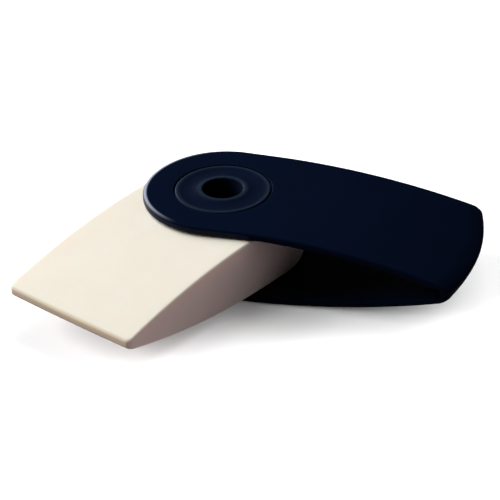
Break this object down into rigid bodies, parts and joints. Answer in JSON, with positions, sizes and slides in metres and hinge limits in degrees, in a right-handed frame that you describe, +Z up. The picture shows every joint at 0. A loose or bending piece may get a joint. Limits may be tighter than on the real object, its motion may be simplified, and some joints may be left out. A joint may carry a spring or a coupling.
{
  "type": "eraser with sleeve",
  "caption": "Pocket eraser block with a chisel tip that swings out of an open-sided lens-shaped plastic sleeve on a hollow snap-together hub.",
  "frame": {"origin": "on the swivel axis, midway between the two cheeks of the sleeve", "axes": "+X from the swivel axis to the closed end of the sleeve, +Z up along the swivel axis; the eraser rests swung out towards -Y as in the picture"},
  "size_m": [0.08, 0.06, 0.015],
  "materials": {
    "sleeve": "moulded navy plastic, satin gloss",
    "eraser": "moulded cream vinyl, matt",
    "hub": "moulded dark blue plastic, satin"
  },
  "bodies": {
    "sleeve": {"sleeve": "sleeve"},
    "eraser": {"eraser_block": "eraser", "hub_bush": "hub", "hub_ring": "hub"}
  },
  "joints": [
    {"name": "swivel", "type": "hinge", "parent": "sleeve", "child": "eraser", "pos_m": [0, 0, 0], "axis": [0, 0, 1], "continuous": true}
  ]
}
